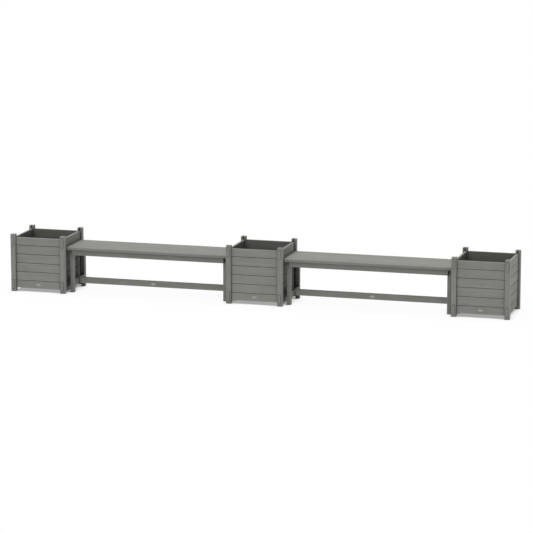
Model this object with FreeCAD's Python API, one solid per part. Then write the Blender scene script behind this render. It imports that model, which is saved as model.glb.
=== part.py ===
import FreeCAD, Part
import math
import os

from FreeCAD import Vector

# Three square planters in a row with a backless bench between each pair, in
# recycled plastic lumber. Millimetres, +Z up. The origin is on the ground at
# the centre of the middle planter, +X runs along the row to the right as seen
# from the front, and the front faces -Y.

# Row
planter_names = ("left_planter", "middle_planter", "right_planter")
bench_names = ("left_bench", "right_bench")
planter_spacing = 2264.0
seat_end_gap = 4.0

# Planter posts
planter_size = 575.0
post_size = 50.0
post_height = 583.0
post_edge_chamfer = 2.5
post_top_chamfer = 3.5
foot_chamfer = 2.5

# Raised pads near both ends of a post's outer face
pad_width = 23.0
pad_length = 87.0
pad_thickness = 6.0
pad_arris_chamfer = 1.5
pad_overlap = 8.0

# Planter walls
wall_setback = 21.0
wall_thickness = 23.0
wall_bottom = 36.0
wall_top = 550.0
boards_per_wall = 6
board_width = 90.0
board_arris_chamfer = 1.5

# Open joint that shows between the faces of two wall boards
wall_joint_gap = 3.0

# Tongue on the upper edge of a board, and the groove that drops over it
tongue_thickness = 8.0
tongue_height = 7.0
tongue_clearance = 0.4

# Tenon on the end of a wall board, and the slot for it in the post
tenon_thickness = 10.0
tenon_length = 10.0
slot_clearance = 0.5

# Planter floor
floor_bearer_size = 38.0
floor_slat_thickness = 23.0
floor_slat_count = 5
floor_slat_gap = 6.0
floor_clearance = 1.5

# Bench seat
seat_height = 467.0
seat_thickness = 28.0
seat_board_count = 5
seat_nose_radius = 13.0
seat_joint_chamfer = 1.6

# Bench frame
leg_width = 38.0
leg_depth = 50.0
leg_setback = 21.0
leg_edge_chamfer = 2.5
apron_thickness = 23.0
apron_height = 54.0
apron_setback = 17.0
apron_end_setback = 48.0
bearer_thickness = 38.0
bearer_count = 5
rail_thickness = 24.0
rail_height = 62.0
rail_bottom = 64.0
rail_edge_radius = 3.0

# Coach screws that hold the legs to the outer seat bearers
bolt_radius = 4.0
bolt_clearance = 0.4
bolt_bite = 26.0
bolt_head_width = 13.0
bolt_head_height = 5.5

cut_overrun = 5.0

# Sizes that follow from the ones above
half_planter = planter_size / 2
half_wall = half_planter - post_size
wall_inner_face = half_planter - wall_setback - wall_thickness
edge_board_width = (wall_top - wall_bottom - (boards_per_wall - 2) * board_width) / 2
bench_span = planter_spacing - planter_size
half_span = bench_span / 2
seat_length = bench_span - 2 * seat_end_gap
seat_depth = seat_board_count * board_width
seat_underside = seat_height - seat_thickness
apron_face = seat_depth / 2 - apron_setback
leg_face = apron_face - apron_thickness
leg_inner_face = half_span - leg_setback - leg_width

os.makedirs("parts", exist_ok=True)


def save(name, solids):
    # One node is one piece, or a group of separate pieces of one kind
    shape = solids[0] if len(solids) == 1 else Part.makeCompound(solids)
    shape.exportStep("parts/" + name + ".step")


def moved(shape, x, y, z, turn=0):
    # A copy, turned about the upright through the origin and then shifted
    copy = shape.copy()
    copy.rotate(Vector(0, 0, 0), Vector(0, 0, 1), turn)
    copy.translate(Vector(x, y, z))
    return copy


def corner_points(corner, before, after, size, is_round):
    # A cut corner is where its cut starts and ends, with the arc's middle
    # between them if it is round
    start = corner + (before - corner).normalize() * size
    end = corner + (after - corner).normalize() * size
    if not is_round:
        return (start, end)
    centre = start + (after - corner).normalize() * size
    middle = centre + (corner - centre).normalize() * size
    return (start, middle, end)


def section_face(corners):
    # Face at z = 0 inside a closed outline. A corner is (x, y), or
    # (x, y, size, is_round) where it is chamfered or rounded.
    points = [Vector(corner[0], corner[1], 0) for corner in corners]
    cuts = []
    for index, corner in enumerate(corners):
        before = points[index - 1]
        after = points[(index + 1) % len(points)]
        if len(corner) == 4:
            cuts.append(corner_points(points[index], before, after, corner[2], corner[3]))
        else:
            cuts.append((points[index],))
    edges = []
    for index, cut in enumerate(cuts):
        if len(cut) == 3:
            edges.append(Part.Arc(*cut).toShape())
        if len(cut) == 2:
            edges.append(Part.makeLine(*cut))
        edges.append(Part.makeLine(cut[-1], cuts[(index + 1) % len(cuts)][0]))
    return Part.Face(Part.Wire(edges))


def block_section(width, depth, size, is_round):
    # Rectangle with all four corners chamfered or rounded
    corners = [(0, 0), (width, 0), (width, depth), (0, depth)]
    return section_face([corner + (size, is_round) for corner in corners])


def board_section(thickness, has_tongue, has_groove, low_corner, high_corner, width, gap):
    # x is the depth behind the good face. y runs across the board, from its
    # groove at y = 0 to its tongue past y = width. The good face stops short
    # of the next board by the gap.
    tongue_start = (thickness - tongue_thickness) / 2
    tongue_end = tongue_start + tongue_thickness
    corners = [(0, 0) + low_corner]
    if has_groove:
        groove_start = tongue_start - tongue_clearance
        groove_end = tongue_end + tongue_clearance
        groove_depth = tongue_height + tongue_clearance
        corners.append((groove_start, 0))
        corners.append((groove_start, groove_depth))
        corners.append((groove_end, groove_depth))
        corners.append((groove_end, 0))
    corners.append((thickness, 0))
    corners.append((thickness, width))
    face_end = width
    if has_tongue:
        face_end = width - gap
        corners.append((tongue_end, width))
        corners.append((tongue_end, width + tongue_height))
        corners.append((tongue_start, width + tongue_height))
        corners.append((tongue_start, face_end))
    corners.append((0, face_end) + high_corner)
    return section_face(corners)


def along_x(section, length):
    # Bar from a section, whose x becomes +Y and whose y becomes +Z
    upright = section.copy()
    upright.rotate(Vector(0, 0, 0), Vector(1, 1, 1), 120)
    return upright.extrude(Vector(length, 0, 0))


def side_view(width, depth, height, top_chamfer):
    # Prism along Y with the outline that a post or leg shows from the front
    foot = (foot_chamfer, False)
    top = (top_chamfer, False) if top_chamfer > 0 else ()
    corners = [
        (-width / 2, 0) + foot,
        (width / 2, 0) + foot,
        (width / 2, height) + top,
        (-width / 2, height) + top,
    ]
    face = section_face(corners)
    face.rotate(Vector(0, 0, 0), Vector(1, 0, 0), 90)
    face.translate(Vector(0, -depth / 2, 0))
    return face.extrude(Vector(0, depth, 0))


def upright_block(width, depth, height, arris, top_chamfer):
    # Post or leg centred on its axis: what its plan and both side views share
    block = block_section(width, depth, arris, False).extrude(Vector(0, 0, height))
    block.translate(Vector(-width / 2, -depth / 2, 0))
    front_view = side_view(width, depth, height, top_chamfer)
    end_view = moved(side_view(depth, width, height, top_chamfer), 0, 0, 0, 90)
    return block.common(front_view).common(end_view).Solids[0]


def planter_post(side):
    # Front post: side -1 is the left one, with its slots towards +X and +Y.
    # The slots are open at the top and end where the lowest boards rest.
    half_post = post_size / 2
    post = upright_block(post_size, post_size, post_height, post_edge_chamfer, post_top_chamfer)
    slot_depth = tenon_length + slot_clearance
    slot_width = tenon_thickness + 2 * slot_clearance
    slot_start = wall_setback - slot_clearance - half_post
    slot_height = post_height - wall_bottom + cut_overrun
    front_slot = Part.makeBox(slot_depth + cut_overrun, slot_width, slot_height)
    front_slot.translate(Vector(half_post - slot_depth, slot_start, wall_bottom))
    side_slot = Part.makeBox(slot_width, slot_depth + cut_overrun, slot_height)
    side_slot.translate(Vector(slot_start, half_post - slot_depth, wall_bottom))
    slots = front_slot.fuse(side_slot)
    if side > 0:
        slots = slots.mirror(Vector(0, 0, 0), Vector(1, 0, 0))
    return post.cut(slots).fuse(post_pads()).removeSplitter().Solids[0]


def post_pads():
    # One at the height of the lowest board and one at that of the highest,
    # each reaching past the wall's edge by the overlap
    chamfer = (pad_arris_chamfer, False)
    corners = [(0, 0) + chamfer, (pad_width, 0) + chamfer, (pad_width, pad_thickness), (0, pad_thickness)]
    pad = section_face(corners).extrude(Vector(0, 0, pad_length))
    face = -post_size / 2 - pad_thickness
    return [
        moved(pad, -pad_width / 2, face, wall_bottom - pad_overlap),
        moved(pad, -pad_width / 2, face, wall_top + pad_overlap - pad_length),
    ]


def wall_board(width, has_tongue, has_groove):
    # Good face towards -Y at y = 0, lower edge at z = 0, with a tenon at each
    # end that keeps the front of the board and has its shoulder behind
    corner = (board_arris_chamfer, False)
    section = board_section(
        wall_thickness, has_tongue, has_groove, corner, corner, width, wall_joint_gap
    )
    board = along_x(section, 2 * (half_wall + tenon_length))
    board.translate(Vector(-half_wall - tenon_length, 0, 0))
    waste_length = tenon_length + cut_overrun
    waste_height = width + tongue_height + 2 * cut_overrun
    for start in (-half_wall - waste_length, half_wall):
        waste = Part.makeBox(waste_length, wall_thickness, waste_height)
        waste.translate(Vector(start, tenon_thickness, -cut_overrun))
        board = board.cut(waste)
    return board.Solids[0]


def wall_boards(centre_x, turn):
    # Boards stacked on edge between two posts, turned about the planter's
    # axis: 0 is the front wall. The lowest and highest are cut narrower.
    boards = []
    height = wall_bottom
    for index in range(boards_per_wall):
        is_lowest = index == 0
        is_highest = index == boards_per_wall - 1
        width = edge_board_width if is_lowest or is_highest else board_width
        board = wall_board(width, not is_highest, not is_lowest)
        board.translate(Vector(0, wall_setback - half_planter, height))
        boards.append(moved(board, centre_x, 0, 0, turn))
        height += width
    return boards


def floor_bearers(centre_x):
    # One along each side wall, between the posts
    size = floor_bearer_size
    section = block_section(size, size, board_arris_chamfer, False)
    bearer = along_x(section, 2 * half_wall)
    bearers = []
    for far_side in (-wall_inner_face + size, wall_inner_face):
        bearers.append(moved(bearer, centre_x + far_side, -half_wall, wall_bottom, 90))
    return bearers


def floor_slats(centre_x):
    # Loose slats on the bearers, with gaps for drainage
    length = 2 * (wall_inner_face - floor_clearance)
    pitch = 2 * half_wall / floor_slat_count
    width = pitch - floor_slat_gap
    section = block_section(width, floor_slat_thickness, board_arris_chamfer, False)
    slat = along_x(section, length)
    start_y = (floor_slat_gap - 2 * half_wall) / 2
    height = wall_bottom + floor_bearer_size
    return [
        moved(slat, centre_x - length / 2, start_y + index * pitch, height)
        for index in range(floor_slat_count)
    ]


def make_planter(name, centre_x):
    offset = half_planter - post_size / 2
    for side, word in ((-1, "left"), (1, "right")):
        post = planter_post(side)
        front = moved(post, centre_x + side * offset, -offset, 0)
        back = moved(planter_post(-side), centre_x + side * offset, offset, 0, 180)
        save(name + "_post_front_" + word, [front])
        save(name + "_post_back_" + word, [back])
    for word, turn in (("front", 0), ("right", 90), ("back", 180), ("left", 270)):
        save(name + "_" + word + "_wall_boards", wall_boards(centre_x, turn))
    save(name + "_floor_bearers", floor_bearers(centre_x))
    save(name + "_floor_slats", floor_slats(centre_x))


def seat_board(is_front, is_back):
    # Good face up at z = 0, front edge at y = 0. A board at the seat's edge
    # has a full nosing there.
    joint = (seat_joint_chamfer, False)
    nose = (seat_nose_radius, True)
    low_corner = nose if is_front else joint
    high_corner = nose if is_back else joint
    has_tongue = not is_back
    has_groove = not is_front
    section = board_section(
        seat_thickness, has_tongue, has_groove, low_corner, high_corner, board_width, 0
    )
    section.rotate(Vector(0, 0, 0), Vector(0, 1, 0), 90)
    return section.extrude(Vector(seat_length, 0, 0))


def make_seat(name, centre_x):
    boards = []
    for index in range(seat_board_count):
        board = seat_board(index == 0, index == seat_board_count - 1)
        start_y = index * board_width - seat_depth / 2
        boards.append(moved(board, centre_x - seat_length / 2, start_y, seat_height))
    save(name + "_seat_front_board", [boards[0]])
    save(name + "_seat_middle_boards", boards[1:-1])
    save(name + "_seat_back_board", [boards[-1]])


def bolt_places(centre_x):
    # Where each coach screw's head seats, and which way its shank points
    height = seat_underside - apron_height / 2
    reach = leg_inner_face - bearer_thickness
    places = []
    for side_x in (-1, 1):
        for side_y in (-1, 1):
            y = side_y * (leg_face - leg_depth / 2)
            places.append((Vector(centre_x + side_x * reach, y, height), side_x))
    return places


def drilled(piece, centre_x):
    # A bearer or leg with the holes of the coach screws that reach it
    depth = bearer_thickness + bolt_bite + bolt_clearance
    for place, side_x in bolt_places(centre_x):
        radius = bolt_radius + bolt_clearance
        start = place - Vector(side_x * cut_overrun, 0, 0)
        hole = Part.makeCylinder(radius, depth + cut_overrun, start, Vector(side_x, 0, 0))
        if hole.BoundBox.intersect(piece.BoundBox):
            piece = piece.cut(hole)
    return piece.Solids[0]


def coach_screw():
    # Hexagonal head below z = 0, round shank above it
    corner_radius = bolt_head_width / math.sqrt(3)
    corners = []
    for index in range(6):
        angle = index * math.pi / 3
        corners.append(Vector(corner_radius * math.cos(angle), corner_radius * math.sin(angle), 0))
    outline = Part.makePolygon(corners + [corners[0]])
    head = Part.Face(outline).extrude(Vector(0, 0, -bolt_head_height))
    shank = Part.makeCylinder(bolt_radius, bearer_thickness + bolt_bite)
    return head.fuse(shank).Solids[0]


def coach_screws(centre_x):
    screws = []
    for place, side_x in bolt_places(centre_x):
        screw = coach_screw()
        screw.rotate(Vector(0, 0, 0), Vector(0, 1, 0), side_x * 90)
        screw.translate(place)
        screws.append(screw)
    return screws


def seat_bearers(centre_x):
    # On edge between the aprons: the outer two stand against the legs, and
    # the others are spaced evenly between them
    section = block_section(bearer_thickness, apron_height, board_arris_chamfer, False)
    bearer = along_x(section, 2 * leg_face)
    first = leg_inner_face - bearer_thickness / 2
    bearers = []
    for index in range(bearer_count):
        middle = centre_x - first + 2 * first * index / (bearer_count - 1)
        x = middle + bearer_thickness / 2
        placed = moved(bearer, x, -leg_face, seat_underside - apron_height, 90)
        bearers.append(drilled(placed, centre_x))
    return bearers


def make_aprons(name, centre_x):
    # Long rails under the seat's front and back, with rounded outer arrises
    rounded = (rail_edge_radius, True)
    corners = [
        (0, 0) + rounded,
        (apron_thickness, 0),
        (apron_thickness, apron_height),
        (0, apron_height) + rounded,
    ]
    length = bench_span - 2 * apron_end_setback
    apron = along_x(section_face(corners), length)
    apron.translate(Vector(-length / 2, -apron_face, seat_underside - apron_height))
    save(name + "_front_apron", [moved(apron, centre_x, 0, 0)])
    save(name + "_back_apron", [moved(apron, centre_x, 0, 0, 180)])


def make_bench(name, centre_x):
    make_seat(name, centre_x)
    make_aprons(name, centre_x)
    leg = upright_block(leg_width, leg_depth, seat_underside, leg_edge_chamfer, 0)
    rail_section = block_section(rail_thickness, rail_height, rail_edge_radius, True)
    rail_length = 2 * (leg_face - leg_depth)
    rail = along_x(rail_section, rail_length)
    for side, word in ((-1, "left"), (1, "right")):
        leg_x = centre_x + side * (leg_inner_face + leg_width / 2)
        leg_y = leg_face - leg_depth / 2
        front = moved(leg, leg_x, -leg_y, 0)
        back = moved(leg, leg_x, leg_y, 0)
        save(name + "_leg_front_" + word, [drilled(front, centre_x)])
        save(name + "_leg_back_" + word, [drilled(back, centre_x)])
        far_side = centre_x + side * (leg_inner_face + rail_thickness / 2) + rail_thickness / 2
        placed = moved(rail, far_side, -rail_length / 2, rail_bottom, 90)
        save(name + "_" + word + "_end_rail", [placed])
    stretcher = along_x(rail_section, 2 * leg_inner_face)
    x = centre_x - leg_inner_face
    save(name + "_stretcher", [moved(stretcher, x, -rail_thickness / 2, rail_bottom)])
    save(name + "_seat_bearers", seat_bearers(centre_x))
    save(name + "_coach_screws", coach_screws(centre_x))


for number, planter_name in enumerate(planter_names):
    make_planter(planter_name, (number - (len(planter_names) - 1) / 2) * planter_spacing)
for number, bench_name in enumerate(bench_names):
    make_bench(bench_name, (number - (len(bench_names) - 1) / 2) * planter_spacing)
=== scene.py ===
import math

import bpy
import numpy as np
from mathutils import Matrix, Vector


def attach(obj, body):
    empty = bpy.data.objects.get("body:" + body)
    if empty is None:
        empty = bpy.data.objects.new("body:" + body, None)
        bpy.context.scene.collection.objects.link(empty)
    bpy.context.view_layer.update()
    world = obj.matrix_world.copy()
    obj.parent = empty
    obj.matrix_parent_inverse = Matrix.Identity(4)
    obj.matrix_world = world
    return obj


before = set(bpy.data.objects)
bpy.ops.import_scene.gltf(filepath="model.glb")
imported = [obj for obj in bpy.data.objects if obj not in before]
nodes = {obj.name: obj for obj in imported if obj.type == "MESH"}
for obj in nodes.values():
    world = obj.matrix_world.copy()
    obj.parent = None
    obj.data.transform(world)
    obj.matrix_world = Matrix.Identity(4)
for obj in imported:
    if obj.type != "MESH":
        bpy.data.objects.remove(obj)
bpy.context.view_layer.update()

# Straight row of three slatted planters and two benches in grey recycled plastic lumber, shown
# the way a catalogue shows it: white ground, even light and a long lens.
# Metres, +Z up, the front faces -Y, and the middle planter stands on the origin.

print("frame loaded:", len(nodes), "nodes")

row = {
    "spacing": 2.264,           # from one planter's middle to the next
    "planters": {"left_planter": -2.264, "middle_planter": 0.0, "right_planter": 2.264},
    "benches": {"left_bench": -1.132, "right_bench": 1.132},
}
white = (1.0, 1.0, 1.0, 1.0)


def toLinear(hexColour):
    # sRGB hex to linear values: c / 12.92 near black, ((c + 0.055) / 1.055) ^ 2.4 above it
    values = [int(hexColour[i:i + 2], 16) / 255 for i in (1, 3, 5)]
    linear = [c / 12.92 if c <= 0.04045 else ((c + 0.055) / 1.055) ** 2.4 for c in values]
    return (*linear, 1.0)


def addNode(tree, kind, settings, links=None):
    # A setting is one of the node's own, or else the value of the input with that name or number
    node = tree.nodes.new(kind)
    for name, value in settings.items():
        if isinstance(name, str) and hasattr(node, name):
            setattr(node, name, value)
        else:
            node.inputs[name].default_value = value
    for name, source in (links or {}).items():
        tree.links.new(source, node.inputs[name])
    return node


def newMaterial(name):
    material = bpy.data.materials.new(name)
    material.use_nodes = True
    material.node_tree.nodes.clear()
    return material


def ringShells(name, shells):
    # shells[s, i, j] is point j of ring i of closed shell s. Neighbouring rings are joined with
    # quads that wrap round in j, and the first and last rings are closed with one flat face each.
    # The rings run round to the left and a shell grows away from its first one, so that its faces
    # look outwards.
    shellCount, ringCount, pointCount = shells.shape[:3]
    i, j = np.meshgrid(np.arange(ringCount - 1), np.arange(pointCount), indexing="ij")
    lower, upper, nextJ = i * pointCount, (i + 1) * pointCount, (j + 1) % pointCount
    quads = np.stack([lower + j, lower + nextJ, upper + nextJ, upper + j], axis=-1).reshape(-1, 4)
    firstRing = np.arange(pointCount)
    caps = np.stack([firstRing[::-1], firstRing + (ringCount - 1) * pointCount])
    firstPoint = np.arange(shellCount)[:, None, None] * ringCount * pointCount
    faces = (quads + firstPoint).reshape(-1, 4).tolist()
    faces += (caps + firstPoint).reshape(-1, pointCount).tolist()
    mesh = bpy.data.meshes.new(name)
    mesh.from_pydata(shells.reshape(-1, 3).tolist(), [], faces)
    mesh.update()
    piece = bpy.data.objects.new(name, mesh)
    bpy.context.scene.collection.objects.link(piece)
    return piece


# High-density polyethylene from sorted household waste, melted, coloured through and pressed into
# long moulds. To the eye it is a dull, slightly warm grey with faint streaks along each length,
# where the melt ran, small flecks of other plastic, and a sheen as low as unpolished stone. Boards
# come from different melts, so that neighbours differ by a shade. Arrises rub paler, and a sawn
# end is rougher, darker and full of small bubbles. Joints, inner corners, shut-in places and the
# planters' insides are darkened in the colour as painted shade, and each part's tone is painted
# light and shade.
lumber = {
    "dark": "#878781",
    "light": "#93938e",
    "scuffed": "#a3a49f",
    "fleck": "#73746f",
    "bubble": "#4d4e4a",
    "streakWidth": 0.014,       # the real ones are 4 to 8 mm wide, drawn broader so that they show
    "streakLength": 0.420,
    "streakContrast": (0.30, 0.72),     # pattern values that give the dark and the light grey
    "fineWidth": 0.0024,        # mould marks about 2.4 mm apart
    "fineLength": 0.090,
    "mottleSize": 0.160,
    "mottleShare": 0.5,         # how much the soft mottling adds to the streaks
    "fleckSpacing": 0.011,
    "fleckSize": (0.16, 0.10),  # its rim and its solid middle, as shares of the spacing
    "fleckShare": 0.55,         # how much of the fleck's colour shows
    "bubbleSpacing": 0.0028,
    "bubbleSize": (0.45, 0.20),
    "bubbleShare": 0.6,
    "sawnFrom": (0.80, 0.95),   # how squarely a face looks along the grain to be a sawn end
    "boardShift": (9, 9, 9),    # how far the pattern may differ in place from board to board
    "boardSpread": 0.06,        # how far the lightest and darkest boards are apart
    "arris": 0.0025,            # how far an edge is rounded and rubbed
    "arrisTurn": (0.995, 0.90),     # cosines of the turn at which the rub begins and is full
    "arrisRub": 0.55,
    "roughness": (0.56, 0.72),
    "markContrast": (0.3, 0.7),     # values of the mould marks that give those two
    "sawnRoughness": 0.88,
    "fineRelief": 0.6,          # height of the mould marks against that of the streaks
    "bumpStrength": 0.30,
    "bumpDepth": 0.0012,
    "ior": 1.54,
    "specular": 0.12,
    "creviceShade": 0.016,           # painted shade also darkens the colour this close to an inner corner or a joint
    "creviceOpen": (0.42, 0.90),    # shares of open air there that give the most painted shade and none
    "creviceColour": 0.30,      # share of the colour that the painted shade leaves in the tightest crevice
    "shutInShade": 0.03,           # the same for a place that is wholly shut in, darkened as painted shade
    "soilEdge": 0.01,           # how sharply the side towards the planter's inside, painted darker as shade, is told from the other
}

# Grain direction, and how the boards of a node are told apart: a board is one step of "pitch"
# counted from "start". A huge pitch means that the node isn't divided that way. The rest is painted
# light and shade in the colour: how near another piece must be to throw painted shade, the share of
# open air at which that painted shade ends, a tone that makes the part paler or darker as painted
# light and shade, and for a wall board the share of its colour left on its side towards the
# planter's inside, as painted shade.
far = 50.0                      # further than any piece reaches
undivided = {"start": (-far, -far, -far), "pitch": (2 * far, 2 * far, 2 * far)}
layers = {"start": (-far, -far, 0.023), "pitch": (2 * far, 2 * far, 0.090)}
slatRow = {"start": (-far, -0.2375, -far), "pitch": (2 * far, 0.095, 2 * far)}
bearerPair = {"start": (-far, -far, -far), "pitch": (0.2, 2 * far, 2 * far)}
seatRow = {"start": (-far, -0.225, -far), "pitch": (2 * far, 0.090, 2 * far)}
bearerRow = {"start": (-row["spacing"] / 2, -far, -far), "pitch": (0.3, 2 * far, 2 * far)}
lumberCuts = {
    "wallBoardAlongX": {**layers, "grain": 0, "shadeReach": 0.60, "openAirShade": 0.38, "paintedLightTone": 1.09,
                        "insideShade": 0.78},
    "wallBoardAlongY": {**layers, "grain": 1, "shadeReach": 0.60, "openAirShade": 0.72, "paintedLightTone": 0.98,
                        "insideShade": 0.52},
    "post": {**undivided, "grain": 2, "shadeReach": 0.60, "openAirShade": 0.42, "paintedLightTone": 1.07},
    "floorSlat": {**slatRow, "grain": 0, "shadeReach": 0.60, "openAirShade": 0.60, "paintedLightTone": 0.80},
    "floorBearer": {**bearerPair, "grain": 1, "shadeReach": 0.60, "openAirShade": 0.60, "paintedLightTone": 0.80},
    "seatBoard": {**seatRow, "grain": 0, "shadeReach": 0.25, "openAirShade": 0.50, "paintedLightTone": 0.96},
    "seatBearer": {**bearerRow, "grain": 1, "shadeReach": 0.25, "openAirShade": 0.60, "paintedLightTone": 0.95},
    "apron": {**undivided, "grain": 0, "shadeReach": 0.25, "openAirShade": 0.50, "paintedLightTone": 0.89},
    "stretcher": {**undivided, "grain": 0, "shadeReach": 0.12, "openAirShade": 0.40, "paintedLightTone": 1.05},
    "endRail": {**undivided, "grain": 1, "shadeReach": 0.60, "openAirShade": 0.55, "paintedLightTone": 1.0},
    "leg": {**undivided, "grain": 2, "shadeReach": 0.60, "openAirShade": 0.46, "paintedLightTone": 1.04},
}


def lumberMaterial(name, cut):
    material = newMaterial(name)
    tree = material.node_tree
    place = addNode(tree, "ShaderNodeTexCoord", {}).outputs["Object"]
    geometry = addNode(tree, "ShaderNodeNewGeometry", {})
    objectInfo = addNode(tree, "ShaderNodeObjectInfo", {})

    # One random value and one random shift of the pattern for each board
    shifted = addNode(tree, "ShaderNodeVectorMath",
                      {"operation": "SUBTRACT", 1: cut["start"]}, {0: place})
    step = addNode(tree, "ShaderNodeVectorMath",
                   {"operation": "SNAP", 1: cut["pitch"]}, {0: shifted.outputs[0]})
    board = addNode(tree, "ShaderNodeTexWhiteNoise", {"noise_dimensions": "4D"},
                    {"Vector": step.outputs[0], "W": objectInfo.outputs["Random"]})
    ownPlace = addNode(tree, "ShaderNodeVectorMath",
                       {"operation": "MULTIPLY_ADD", 1: lumber["boardShift"]},
                       {0: board.outputs["Color"], 2: place})

    # Patterns: long streaks, fine mould marks, soft mottling, flecks and bubbles
    def alongGrain(width, length):
        scales = [1 / width] * 3
        scales[cut["grain"]] = 1 / length
        return addNode(tree, "ShaderNodeVectorMath",
                       {"operation": "MULTIPLY", 1: tuple(scales)}, {0: ownPlace.outputs[0]})

    streakPlace = alongGrain(lumber["streakWidth"], lumber["streakLength"])
    streaks = addNode(tree, "ShaderNodeTexNoise",
                      {"Scale": 1.0, "Detail": 3.0, "Roughness": 0.6, "Distortion": 0.4},
                      {"Vector": streakPlace.outputs[0]})
    finePlace = alongGrain(lumber["fineWidth"], lumber["fineLength"])
    fineMarks = addNode(tree, "ShaderNodeTexNoise", {"Scale": 1.0, "Detail": 2.0, "Roughness": 0.5},
                        {"Vector": finePlace.outputs[0]})
    mottle = addNode(tree, "ShaderNodeTexNoise", {"Scale": 1 / lumber["mottleSize"], "Detail": 2.0},
                     {"Vector": ownPlace.outputs[0]})
    flecks = addNode(tree, "ShaderNodeTexVoronoi", {"Scale": 1 / lumber["fleckSpacing"]},
                     {"Vector": ownPlace.outputs[0]})
    bubbles = addNode(tree, "ShaderNodeTexVoronoi", {"Scale": 1 / lumber["bubbleSpacing"]},
                      {"Vector": ownPlace.outputs[0]})

    # Where the face is a sawn end, and where an arris is rubbed
    across = [0, 0, 0]
    across[cut["grain"]] = 1
    endways = addNode(tree, "ShaderNodeVectorMath", {"operation": "DOT_PRODUCT", 1: tuple(across)},
                      {0: geometry.outputs["True Normal"]})
    endwaysSize = addNode(tree, "ShaderNodeMath", {"operation": "ABSOLUTE"},
                          {0: endways.outputs["Value"]})
    begins, full = lumber["sawnFrom"]
    sawn = addNode(tree, "ShaderNodeMapRange", {"From Min": begins, "From Max": full},
                   {"Value": endwaysSize.outputs[0]})
    softNormal = addNode(tree, "ShaderNodeBevel", {"samples": 4, "Radius": lumber["arris"]})
    turned = addNode(tree, "ShaderNodeVectorMath", {"operation": "DOT_PRODUCT"},
                     {0: softNormal.outputs[0], 1: geometry.outputs["True Normal"]})
    begins, full = lumber["arrisTurn"]
    arris = addNode(tree, "ShaderNodeMapRange",
                    {"From Min": begins, "From Max": full, "To Max": lumber["arrisRub"]},
                    {"Value": turned.outputs["Value"]})
    rubbed = addNode(tree, "ShaderNodeMath", {"operation": "MULTIPLY"},
                     {0: arris.outputs[0], 1: mottle.outputs[0]})

    # Colour: streaks and mottling between the two greys, then flecks, rubbed arrises and bubbles
    blend = addNode(tree, "ShaderNodeMath",
                    {"operation": "MULTIPLY_ADD", 1: lumber["mottleShare"],
                     2: -lumber["mottleShare"] / 2}, {0: mottle.outputs[0]})
    blendStreaks = addNode(tree, "ShaderNodeMath", {"operation": "ADD"},
                           {0: blend.outputs[0], 1: streaks.outputs[0]})
    darkest, lightest = lumber["streakContrast"]
    spread = addNode(tree, "ShaderNodeMapRange", {"From Min": darkest, "From Max": lightest},
                     {"Value": blendStreaks.outputs[0]})
    grey = addNode(tree, "ShaderNodeMix",
                   {"data_type": "RGBA", 6: toLinear(lumber["dark"]), 7: toLinear(lumber["light"])},
                   {0: spread.outputs[0]})
    # Each part's tone is painted light and shade, set to how much light it gets; the random spread
    # round it is the real difference between melts
    halfSpread = lumber["boardSpread"] / 2
    tint = addNode(tree, "ShaderNodeMapRange", {"To Min": cut["paintedLightTone"] * (1 - halfSpread),
                                                "To Max": cut["paintedLightTone"] * (1 + halfSpread)},
                   {"Value": board.outputs["Value"]})
    tinted = addNode(tree, "ShaderNodeVectorMath", {"operation": "SCALE"},
                     {0: grey.outputs[2], "Scale": tint.outputs[0]})
    rim, middle = lumber["fleckSize"]
    fleckHere = addNode(tree, "ShaderNodeMapRange",
                        {"From Min": rim, "From Max": middle, "To Max": lumber["fleckShare"]},
                        {"Value": flecks.outputs["Distance"]})
    flecked = addNode(tree, "ShaderNodeMix", {"data_type": "RGBA", 7: toLinear(lumber["fleck"])},
                      {0: fleckHere.outputs[0], 6: tinted.outputs[0]})
    worn = addNode(tree, "ShaderNodeMix", {"data_type": "RGBA", 7: toLinear(lumber["scuffed"])},
                   {0: rubbed.outputs[0], 6: flecked.outputs[2]})
    rim, middle = lumber["bubbleSize"]
    bubbleHere = addNode(tree, "ShaderNodeMapRange",
                         {"From Min": rim, "From Max": middle, "To Max": lumber["bubbleShare"]},
                         {"Value": bubbles.outputs["Distance"]})
    bubbleOnEnd = addNode(tree, "ShaderNodeMath", {"operation": "MULTIPLY"},
                          {0: bubbleHere.outputs[0], 1: sawn.outputs[0]})
    pitted = addNode(tree, "ShaderNodeMix", {"data_type": "RGBA", 7: toLinear(lumber["bubble"])},
                     {0: bubbleOnEnd.outputs[0], 6: worn.outputs[2]})

    # Painted shade darkens the colour: where other pieces shut a place in, in crevices, and on the
    # side towards the planter's inside
    openness = addNode(tree, "ShaderNodeAmbientOcclusion",
                       {"samples": 8, "Distance": cut["shadeReach"]})
    openAirShade = addNode(tree, "ShaderNodeMapRange",
                     {"From Max": cut["openAirShade"], "To Min": lumber["shutInShade"]},
                     {"Value": openness.outputs["AO"]})
    creviceShade = addNode(tree, "ShaderNodeAmbientOcclusion",
                      {"samples": 4, "Distance": lumber["creviceShade"]})
    shut, clear = lumber["creviceOpen"]
    creviceLightLeft = addNode(tree, "ShaderNodeMapRange",
                           {"From Min": shut, "From Max": clear, "To Min": lumber["creviceColour"]},
                           {"Value": creviceShade.outputs["AO"]})
    lightLeft = addNode(tree, "ShaderNodeMath", {"operation": "MULTIPLY"},
                    {0: openAirShade.outputs[0], 1: creviceLightLeft.outputs[0]})
    # The wall boards' side towards the planter's inside is painted darker: painted shade
    if "insideShade" in cut:
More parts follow.
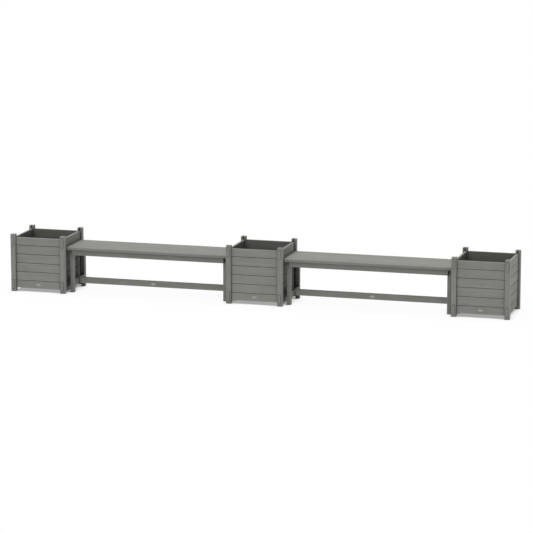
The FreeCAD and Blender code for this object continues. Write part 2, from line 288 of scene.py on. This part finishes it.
        # Above 0 where the face looks away from the middle of the nearest planter
        fromMiddle = addNode(tree, "ShaderNodeVectorMath",
                             {"operation": "WRAP", 1: (row["spacing"] / 2, far, far),
                              2: (-row["spacing"] / 2, -far, -far)}, {0: place})
        outwards = addNode(tree, "ShaderNodeVectorMath", {"operation": "DOT_PRODUCT"},
                           {0: fromMiddle.outputs[0], 1: geometry.outputs["True Normal"]})
        soil = addNode(tree, "ShaderNodeMapRange",
                       {"From Min": -lumber["soilEdge"], "From Max": lumber["soilEdge"],
                        "To Min": cut["insideShade"]}, {"Value": outwards.outputs["Value"]})
        lightLeft = addNode(tree, "ShaderNodeMath", {"operation": "MULTIPLY"},
                        {0: lightLeft.outputs[0], 1: soil.outputs[0]})
    colour = addNode(tree, "ShaderNodeVectorMath", {"operation": "SCALE"},
                     {0: pitted.outputs[2], "Scale": lightLeft.outputs[0]})

    # Sheen and relief
    smoothest, roughest = lumber["roughness"]
    lowest, highest = lumber["markContrast"]
    sheen = addNode(tree, "ShaderNodeMapRange", {"From Min": lowest, "From Max": highest,
                                                 "To Min": smoothest, "To Max": roughest},
                    {"Value": fineMarks.outputs[0]})
    roughness = addNode(tree, "ShaderNodeMix", {3: lumber["sawnRoughness"]},
                        {0: sawn.outputs[0], 2: sheen.outputs[0]})
    relief = addNode(tree, "ShaderNodeMath",
                     {"operation": "MULTIPLY_ADD", 1: lumber["fineRelief"]},
                     {0: fineMarks.outputs[0], 2: streaks.outputs[0]})
    height = addNode(tree, "ShaderNodeMath", {"operation": "SUBTRACT"},
                     {0: relief.outputs[0], 1: bubbleOnEnd.outputs[0]})
    bump = addNode(tree, "ShaderNodeBump",
                   {"Strength": lumber["bumpStrength"], "Distance": lumber["bumpDepth"]},
                   {"Height": height.outputs[0], "Normal": softNormal.outputs[0]})
    surface = addNode(tree, "ShaderNodeBsdfPrincipled",
                      {"IOR": lumber["ior"], "Specular IOR Level": lumber["specular"]},
                      {"Base Color": colour.outputs[0], "Roughness": roughness.outputs[0],
                       "Normal": bump.outputs[0]})
    addNode(tree, "ShaderNodeOutputMaterial", {}, {"Surface": surface.outputs[0]})
    return material


lumberMaterials = {name: lumberMaterial(name + "Polyethylene", cut)
                   for name, cut in lumberCuts.items()}
print("lumber materials:", len(lumberMaterials))


# Zinc-dipped steel, dull from weather: a broken pattern of soft grey patches, each as wide as a
# zinc crystal, and little shine.
galvanised = {
    "dark": "#8f9294",
    "light": "#b4b7b8",
    "crystal": 0.004,
    "roughness": (0.38, 0.58),
    "bumpStrength": 0.2,
    "bumpDepth": 0.0002,
}


def galvanisedMaterial():
    material = newMaterial("galvanisedSteel")
    tree = material.node_tree
    place = addNode(tree, "ShaderNodeTexCoord", {}).outputs["Object"]
    crystals = addNode(tree, "ShaderNodeTexVoronoi", {"Scale": 1 / galvanised["crystal"]},
                       {"Vector": place})
    patch = addNode(tree, "ShaderNodeSeparateColor", {}, {0: crystals.outputs["Color"]})
    colour = addNode(tree, "ShaderNodeMix",
                     {"data_type": "RGBA", 6: toLinear(galvanised["dark"]),
                      7: toLinear(galvanised["light"])}, {0: patch.outputs[0]})
    smoothest, roughest = galvanised["roughness"]
    roughness = addNode(tree, "ShaderNodeMapRange", {"To Min": smoothest, "To Max": roughest},
                        {"Value": patch.outputs[1]})
    bump = addNode(tree, "ShaderNodeBump",
                   {"Strength": galvanised["bumpStrength"], "Distance": galvanised["bumpDepth"]},
                   {"Height": crystals.outputs["Distance"]})
    surface = addNode(tree, "ShaderNodeBsdfPrincipled", {"Metallic": 1.0},
                      {"Base Color": colour.outputs[2], "Roughness": roughness.outputs[0],
                       "Normal": bump.outputs[0]})
    addNode(tree, "ShaderNodeOutputMaterial", {}, {"Surface": surface.outputs[0]})
    return material


steel = galvanisedMaterial()
print("galvanised steel ready")


# The first word here that a node's name holds gives its cut
cutOfNode = {
    "post": "post",
    "leg": "leg",
    "front_wall": "wallBoardAlongX",
    "back_wall": "wallBoardAlongX",
    "left_wall": "wallBoardAlongY",
    "right_wall": "wallBoardAlongY",
    "floor_slats": "floorSlat",
    "floor_bearers": "floorBearer",
    "seat_bearers": "seatBearer",
    "end_rail": "endRail",
    "seat": "seatBoard",
    "apron": "apron",
    "stretcher": "stretcher",
}

for nodeName, node in nodes.items():
    if "coach_screws" in nodeName:
        chosen = steel
    else:
        found = next(word for word in cutOfNode if word in nodeName)
        chosen = lumberMaterials[cutOfNode[found]]
    for materialSlot in node.material_slots:
        materialSlot.material = chosen
print("materials on the CAD pieces")


# Moulded ABS, satin and a shade paler than the boards, with a fine moulded grain: a small blank
# oval on the lowest front board of each planter and on the middle of each stretcher.
plate = {
    "length": 0.050,
    "height": 0.026,
    "thickness": 0.0024,
    "crown": 0.0010,            # how far its middle stands above its rim
    "segments": 56,
    "rimSteps": 6,
    "faceSteps": 8,
    "smallestRing": 0.06,       # size of the innermost ellipse against the face's edge
    "planterSpot": (-0.2665, 0.0725),   # y and z of its middle, on the board
    "benchSpot": (-0.012, 0.095),
    "planterColour": "#a6a6a1",
    # the same ABS as the planters' plates, painted paler on the stretchers as painted light
    "benchLitColour": "#b2b2ac",
    "rimTone": 1.12,            # handled rims are this much paler
    "rimTurn": (0.95, 0.55),    # cosines of the turn at which the rim begins and is full
    "grain": 0.0009,
    "roughness": (0.34, 0.50),
    "bumpStrength": 0.15,
    "bumpDepth": 0.0002,
    "ior": 1.53,
}


def plateMaterial(name, hexColour):
    material = newMaterial(name)
    tree = material.node_tree
    place = addNode(tree, "ShaderNodeTexCoord", {}).outputs["Object"]
    geometry = addNode(tree, "ShaderNodeNewGeometry", {})
    grain = addNode(tree, "ShaderNodeTexNoise", {"Scale": 1 / plate["grain"], "Detail": 2.0},
                    {"Vector": place})
    facing = addNode(tree, "ShaderNodeVectorMath", {"operation": "DOT_PRODUCT", 1: (0, -1, 0)},
                     {0: geometry.outputs["Normal"]})
    begins, full = plate["rimTurn"]
    rim = addNode(tree, "ShaderNodeMapRange",
                  {"From Min": begins, "From Max": full, "To Min": 1.0, "To Max": plate["rimTone"]},
                  {"Value": facing.outputs["Value"]})
    colour = addNode(tree, "ShaderNodeVectorMath",
                     {"operation": "SCALE", 0: toLinear(hexColour)[:3]}, {"Scale": rim.outputs[0]})
    smoothest, roughest = plate["roughness"]
    roughness = addNode(tree, "ShaderNodeMapRange", {"To Min": smoothest, "To Max": roughest},
                        {"Value": grain.outputs[0]})
    bump = addNode(tree, "ShaderNodeBump",
                   {"Strength": plate["bumpStrength"], "Distance": plate["bumpDepth"]},
                   {"Height": grain.outputs[0]})
    surface = addNode(tree, "ShaderNodeBsdfPrincipled", {"IOR": plate["ior"]},
                      {"Base Color": colour.outputs[0], "Roughness": roughness.outputs[0],
                       "Normal": bump.outputs[0]})
    addNode(tree, "ShaderNodeOutputMaterial", {}, {"Surface": surface.outputs[0]})
    return material


def ovalPlate(name, x, y, z):
    # Ellipses carried from the board outwards, each inside the one before. The rim is a quarter
    # circle in section: inset = r (1 - cos a), proud = r sin a. Inside it the face rises to
    # proud = r + crown (1 - s^2), where s shrinks from 1 at the rim to nearly 0 at the middle.
    turn = np.arange(plate["segments"]) * 2 * math.pi / plate["segments"]
    r = plate["thickness"] - plate["crown"]
    a = np.linspace(0, math.pi / 2, plate["rimSteps"])
    s = np.linspace(1, plate["smallestRing"], plate["faceSteps"])[1:]
    halfLength, halfHeight = plate["length"] / 2, plate["height"] / 2
    inset = r * (1 - np.cos(a))
    wide = np.concatenate([halfLength - inset, (halfLength - r) * s])
    high = np.concatenate([halfHeight - inset, (halfHeight - r) * s])
    proud = np.concatenate([r * np.sin(a), r + plate["crown"] * (1 - s ** 2)])
    shell = np.empty((1, len(proud), len(turn), 3))
    shell[..., 0] = x + wide[:, None] * np.cos(turn)
    shell[..., 1] = y - proud[:, None]
    shell[..., 2] = z + high[:, None] * np.sin(turn)
    piece = ringShells(name, shell)
    piece.data.polygons.foreach_set("use_smooth", np.ones(len(piece.data.polygons), dtype=bool))
    return piece


planterPlate = plateMaterial("mouldedAbsPlanterPlate", plate["planterColour"])
benchPlate = plateMaterial("mouldedAbsBenchPlatePaintedLight", plate["benchLitColour"])
plateKinds = [
    (row["planters"], plate["planterSpot"], planterPlate, "wall_board"),
    (row["benches"], plate["benchSpot"], benchPlate, "bench_frame"),
]
for carriers, spot, finish, slotName in plateKinds:
    for carrier, middle in carriers.items():
        piece = ovalPlate(carrier + "_oval_plate", middle, *spot)
        piece.data.materials.append(finish)
        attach(piece, "root")
print("oval plates ready")


# Galvanised pan-head screws under the seats, up through each bearer into each board.
screw = {
    "headRadius": 0.0055,
    "headHeight": 0.0028,
    "domeRadii": (1.0, 1.0, 0.86, 0.60),    # shares of the head's radius, from its flat outwards
    "domeDepths": (0.0, 0.45, 0.85, 1.0),   # shares of its height at the same rings
    "socketRadius": 0.0024,
    "socketTaper": (1.0, 0.9),  # shares of the socket's radius at its mouth and its end
    "socketDepth": 0.0016,
    "segments": 12,
    "underside": 0.385,         # height of the bearers' lower faces
    "boardCentres": (-0.180, -0.090, 0.0, 0.090, 0.180),
    "pairSpread": 0.028,        # from a board's middle to each of its two screws
    "lastRow": 0.170,           # the legs stand beyond this, so there are no screws there
    "firstBearer": 0.7665,      # outer bearers' middles, measured from the bench's middle
    "bearers": 5,
}


def screwHeads(name, places):
    # One profile of rings, from the flat under the head, over its dome and down into its socket,
    # repeated at every place: point = place + (r cos t, -r sin t, -depth)
    turn = np.arange(screw["segments"]) * 2 * math.pi / screw["segments"]
    headHeight = screw["headHeight"]
    radius = np.append(np.array(screw["domeRadii"]) * screw["headRadius"],
                       np.array(screw["socketTaper"]) * screw["socketRadius"])
    depth = np.append(np.array(screw["domeDepths"]) * headHeight,
                      [headHeight, headHeight - screw["socketDepth"]])
    head = np.empty((len(radius), len(turn), 3))
    head[..., 0] = radius[:, None] * np.cos(turn)
    head[..., 1] = -radius[:, None] * np.sin(turn)
    head[..., 2] = -depth[:, None]
    return ringShells(name, head + places[:, None, None, :])


for benchName, middle in row["benches"].items():
    bearerX = middle + np.linspace(-screw["firstBearer"], screw["firstBearer"], screw["bearers"])
    pair = (-screw["pairSpread"], screw["pairSpread"])
    boardY = np.add.outer(screw["boardCentres"], pair).ravel()
    gridX, gridY = np.meshgrid(bearerX, boardY, indexing="ij")
    heights = np.full(gridX.size, screw["underside"])
    spots = np.stack([gridX.ravel(), gridY.ravel(), heights], axis=-1)
    spots = spots[np.abs(spots[:, 1]) < screw["lastRow"]]
    heads = screwHeads(benchName + "_seat_screws", spots)
    heads.data.materials.append(steel)
    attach(heads, "root")
print("seat screws ready")


# Each shadow: how near a piece must be to throw it, the shares of open air at which it is deepest
# and gone, and the ground's brightness where it is deepest. "beside" runs the other way, 1 beside
# a foot and 0.25 in the open, and is the share of a corner's shadow that falls there.
ground = {
    "halfWidth": 140.0,
    "drop": 0.0002,             # it lies this far under the feet, so that no two faces coincide
    "glow": 0.85,               # light that the object receives from the ground
    "contact": {"reach": 0.11, "air": (0.05, 0.80), "darkest": 0.46},
    "corner": {"reach": 0.45, "air": (0.08, 0.42), "darkest": 0.08},
    "beside": {"reach": 0.05, "air": (1.05, 0.85), "darkest": 0.0},
    "wide": {"reach": 0.9, "air": (0.0, 0.9), "darkest": 0.94},
    "samples": 16,
    "under": 0.40,              # the ground's brightness under a planter
    "underEdge": (0.262, 0.240),    # from a planter's middle: where that begins, and is full
    "wallStep": 0.006,          # front and back, it reaches this much further
    "slant": 0.50,              # at the sides little light comes in past the benches, so there it
    "slantFrom": 0.15,          # narrows by this slope, from this far to the front and back inwards
}


def seenDirectly(tree):
    # 1 for what the camera sees, also in a reflection or through a clear piece, and 0 for light
    path = addNode(tree, "ShaderNodeLightPath", {})
    reflected = addNode(tree, "ShaderNodeMath", {"operation": "MAXIMUM"},
                        {0: path.outputs["Is Camera Ray"], 1: path.outputs["Is Glossy Ray"]})
    direct = addNode(tree, "ShaderNodeMath", {"operation": "MAXIMUM"},
                     {0: reflected.outputs[0], 1: path.outputs["Is Transmission Ray"]})
    return direct.outputs[0]


def underPlanter(tree):
    # 1 under a planter and 0 away from it, by how far a point is from the nearest planter's middle:
    # the larger of the distance along the row and the distance towards the front or back, less the
    # wall step. The first one is lengthened by the slant, slope x (slantFrom - distance towards the
    # front or back), where that is above 0.
    place = addNode(tree, "ShaderNodeTexCoord", {}).outputs["Object"]
    mirrored = addNode(tree, "ShaderNodeVectorMath", {"operation": "ABSOLUTE"}, {0: place})
    parts = addNode(tree, "ShaderNodeSeparateXYZ", {}, {0: mirrored.outputs[0]})
    fromOuter = addNode(tree, "ShaderNodeMath", {"operation": "SUBTRACT", 1: row["spacing"]},
                        {0: parts.outputs["X"]})
    fromOuterSize = addNode(tree, "ShaderNodeMath", {"operation": "ABSOLUTE"},
                            {0: fromOuter.outputs[0]})
    alongRow = addNode(tree, "ShaderNodeMath", {"operation": "MINIMUM"},
                       {0: parts.outputs["X"], 1: fromOuterSize.outputs[0]})
    slope = ground["slant"]
    slant = addNode(tree, "ShaderNodeMath",
                    {"operation": "MULTIPLY_ADD", 1: -slope, 2: slope * ground["slantFrom"]},
                    {0: parts.outputs["Y"]})
    slantInside = addNode(tree, "ShaderNodeMath", {"operation": "MAXIMUM", 1: 0.0},
                          {0: slant.outputs[0]})
    slanted = addNode(tree, "ShaderNodeMath", {"operation": "ADD"},
                      {0: alongRow.outputs[0], 1: slantInside.outputs[0]})
    acrossRow = addNode(tree, "ShaderNodeMath", {"operation": "SUBTRACT", 1: ground["wallStep"]},
                        {0: parts.outputs["Y"]})
    fromPlanter = addNode(tree, "ShaderNodeMath", {"operation": "MAXIMUM"},
                          {0: slanted.outputs[0], 1: acrossRow.outputs[0]})
    begins, full = ground["underEdge"]
    return addNode(tree, "ShaderNodeMapRange", {"From Min": begins, "From Max": full},
                   {"Value": fromPlanter.outputs[0]}).outputs[0]


def groundMaterial():
    # A white light table: it lights the object evenly from below, and little under a planter or in
    # narrow corners. The camera sees it as plain white with the object's shadow: a dark one close
    # to what stands on it and under the planters, a darker one in narrow corners, and a faint wide
    # one.
    material = newMaterial("paleGround")
    material.cycles.emission_sampling = "NONE"
    tree = material.node_tree

    def shadow(kind):
        levels = ground[kind]
        shut, clear = levels["air"]
        occlusion = addNode(tree, "ShaderNodeAmbientOcclusion",
                            {"samples": ground["samples"], "Distance": levels["reach"]})
        return addNode(tree, "ShaderNodeMapRange",
                       {"From Min": shut, "From Max": clear, "To Min": levels["darkest"]},
                       {"Value": occlusion.outputs["AO"]}).outputs[0]

    contact, corner, beside, wide = map(shadow, ("contact", "corner", "beside", "wide"))
    under = underPlanter(tree)
    cornerOnly = addNode(tree, "ShaderNodeMix", {2: 1.0}, {0: beside, 3: corner})
    lighting = addNode(tree, "ShaderNodeMix", {3: ground["under"]},
                       {0: under, 2: cornerOnly.outputs[0]})
    glowHere = addNode(tree, "ShaderNodeMath", {"operation": "MULTIPLY", 1: ground["glow"]},
                       {0: lighting.outputs[0]})
    glow = addNode(tree, "ShaderNodeEmission", {"Color": white}, {"Strength": glowHere.outputs[0]})
    besideFeet = addNode(tree, "ShaderNodeMath", {"operation": "MULTIPLY"},
                         {0: contact, 1: cornerOnly.outputs[0]})
    close = addNode(tree, "ShaderNodeMix", {3: ground["under"]},
                    {0: under, 2: besideFeet.outputs[0]})
    shade = addNode(tree, "ShaderNodeMath", {"operation": "MULTIPLY"},
                    {0: close.outputs[0], 1: wide})
    shown = addNode(tree, "ShaderNodeEmission", {"Color": white}, {"Strength": shade.outputs[0]})
    surface = addNode(tree, "ShaderNodeMixShader", {},
                      {0: seenDirectly(tree), 1: glow.outputs[0], 2: shown.outputs[0]})
    addNode(tree, "ShaderNodeOutputMaterial", {}, {"Surface": surface.outputs[0]})
    return material


def makeGround():
    # A flat square round the object, far wider than any view of it
    reach, z = ground["halfWidth"], -ground["drop"]
    corners = [(-reach, -reach, z), (reach, -reach, z), (reach, reach, z), (-reach, reach, z)]
    mesh = bpy.data.meshes.new("ground")
    mesh.from_pydata(corners, [], [(0, 1, 2, 3)])
    floor = bpy.data.objects.new("ground", mesh)
    floor.data.materials.append(groundMaterial())
    bpy.context.scene.collection.objects.link(floor)


makeGround()

light = {
    "sky": 0.30,                # even white all round
    "background": 1.0,          # what the camera sees of the sky, where 1 is white
    "overhead": 0.70,           # a very wide lamp straight above, as a share of a full sky
    "overheadWidth": 100.0,     # degrees
}


def makeSky():
    world = bpy.data.worlds.new("whiteSky")
    bpy.context.scene.world = world
    world.use_nodes = True
    tree = world.node_tree
    tree.nodes.clear()
    lit = addNode(tree, "ShaderNodeBackground", {"Color": white, "Strength": light["sky"]})
    seen = addNode(tree, "ShaderNodeBackground", {"Color": white, "Strength": light["background"]})
    sky = addNode(tree, "ShaderNodeMixShader", {},
                  {0: seenDirectly(tree), 1: lit.outputs[0], 2: seen.outputs[0]})
    addNode(tree, "ShaderNodeOutputWorld", {}, {"Surface": sky.outputs[0]})


makeSky()

lamp = bpy.data.lights.new("overheadSoftbox", "SUN")
lamp.energy = light["overhead"] * math.pi
lamp.angle = math.radians(light["overheadWidth"])
softbox = bpy.data.objects.new("overheadSoftbox", lamp)
bpy.context.scene.collection.objects.link(softbox)
print("ground and sky ready")

camera = {
    "lens": 179.25,
    "sensor": 36.0,
    "target": (0.0480, 0.0, 0.3359),
    "distance": 26.33,
    "yaw": 15.93,               # degrees to the right of straight ahead
    "pitch": 11.04,             # degrees above level
    "clipEnd": 400.0,
}


def makeCamera():
    data = bpy.data.cameras.new("catalogueCamera")
    data.lens = camera["lens"]
    data.sensor_width = camera["sensor"]
    data.clip_end = camera["clipEnd"]
    viewer = bpy.data.objects.new("catalogueCamera", data)
    bpy.context.scene.collection.objects.link(viewer)
    yaw, pitch = math.radians(camera["yaw"]), math.radians(camera["pitch"])
    level = math.cos(pitch)
    back = Vector((math.sin(yaw) * level, -math.cos(yaw) * level, math.sin(pitch)))
    viewer.location = Vector(camera["target"]) + back * camera["distance"]
    viewer.rotation_mode = "QUATERNION"
    viewer.rotation_quaternion = (-back).to_track_quat("-Z", "Y")
    bpy.context.scene.camera = viewer


makeCamera()
bpy.context.scene.view_settings.view_transform = "Standard"
print("camera ready")
